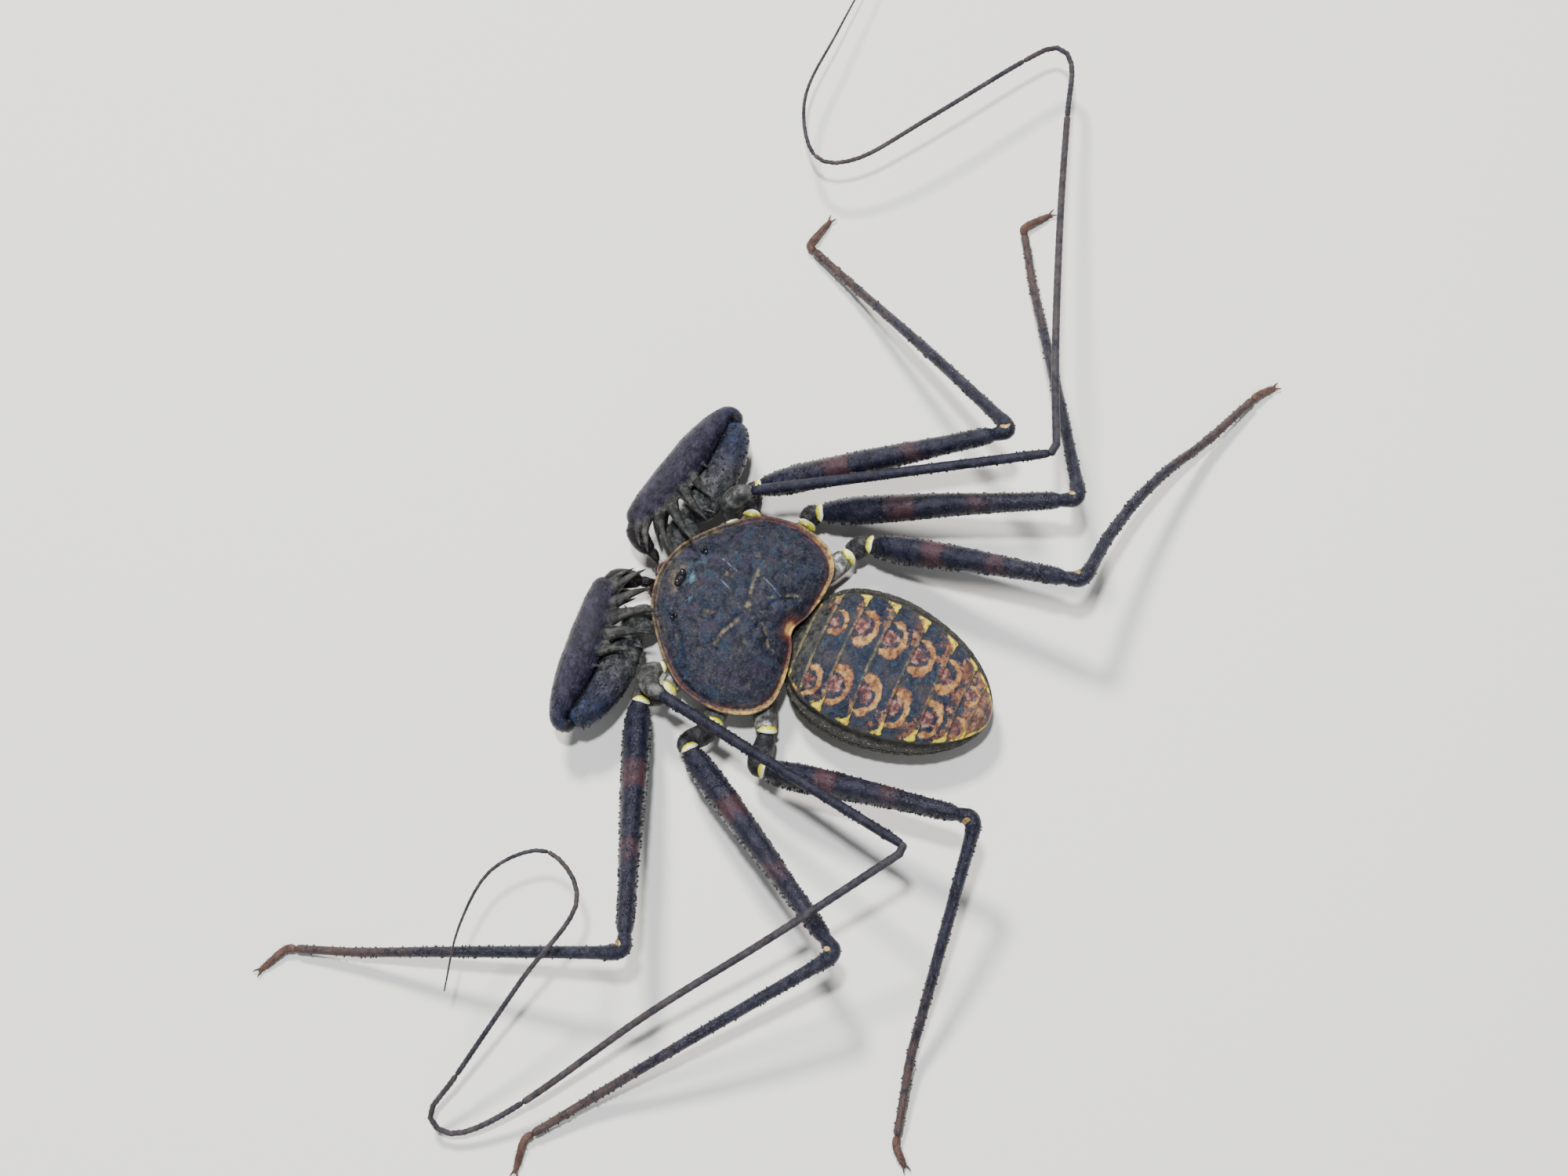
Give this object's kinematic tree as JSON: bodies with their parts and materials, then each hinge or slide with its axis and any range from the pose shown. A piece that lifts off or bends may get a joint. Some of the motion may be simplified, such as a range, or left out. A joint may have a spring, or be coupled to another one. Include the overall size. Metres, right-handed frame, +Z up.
{
  "type": "phrynus parvulus whip spider",
  "caption": "Life-size still model of a whip spider (Phrynus parvulus) standing on its feet, spiny pincers folded, long thin whips trailing.",
  "frame": {"origin": "on the floor under the middle of the animal's box", "axes": "the head points to -Y, the animal's left side is +X, +Z is up"},
  "size_m": [0.082, 0.043, 0.0094],
  "materials": {
    "carapace": "dark, finely granular, satin",
    "underside": "satin",
    "abdomen": "satin, banded with ochre",
    "eyes": "glossy",
    "jaws": "glossy",
    "palps": "dark, granular, satin",
    "legs": "dark, granular, satin",
    "feet": "satin",
    "whips": "satin"
  },
  "bodies": {
    "root": {"carapace": "carapace", "prosoma_underside": "underside", "abdomen": "abdomen", "median_eye_L": "eyes", "lateral_eyes_L": "eyes", "chelicera_L": "jaws", "palp_L_trochanter": "palps", "palp_L_femur": "palps", "palp_L_patella": "palps", "palp_L_tibia": "palps", "palp_L_claw": "palps", "whip_L_trochanter": "whips", "whip_L_femur": "whips", "whip_L_tibia": "whips", "whip_L_foot_1": "whips", "whip_L_foot_2": "whips", "whip_L_foot_3": "whips", "median_eye_R": "eyes", "lateral_eyes_R": "eyes", "chelicera_R": "jaws", "palp_R_trochanter": "palps", "palp_R_femur": "palps", "palp_R_patella": "palps", "palp_R_tibia": "palps", "palp_R_claw": "palps", "whip_R_trochanter": "whips", "whip_R_femur": "whips", "whip_R_tibia": "whips", "whip_R_foot_1": "whips", "whip_R_foot_2": "whips", "whip_R_foot_3": "whips", "leg_R2_trochanter": "legs", "leg_R2_femur": "legs", "leg_R2_tibia": "legs", "leg_R2_foot": "feet", "leg_R3_trochanter": "legs", "leg_R3_femur": "legs", "leg_R3_tibia": "legs", "leg_R3_foot": "feet", "leg_R4_trochanter": "legs", "leg_R4_femur": "legs", "leg_R4_tibia": "legs", "leg_R4_foot": "feet", "leg_L2_trochanter": "legs", "leg_L2_femur": "legs", "leg_L2_tibia": "legs", "leg_L2_foot": "feet", "leg_L3_trochanter": "legs", "leg_L3_femur": "legs", "leg_L3_tibia": "legs", "leg_L3_foot": "feet", "leg_L4_trochanter": "legs", "leg_L4_femur": "legs", "leg_L4_tibia": "legs", "leg_L4_foot": "feet"}
  },
  "joints": []
}
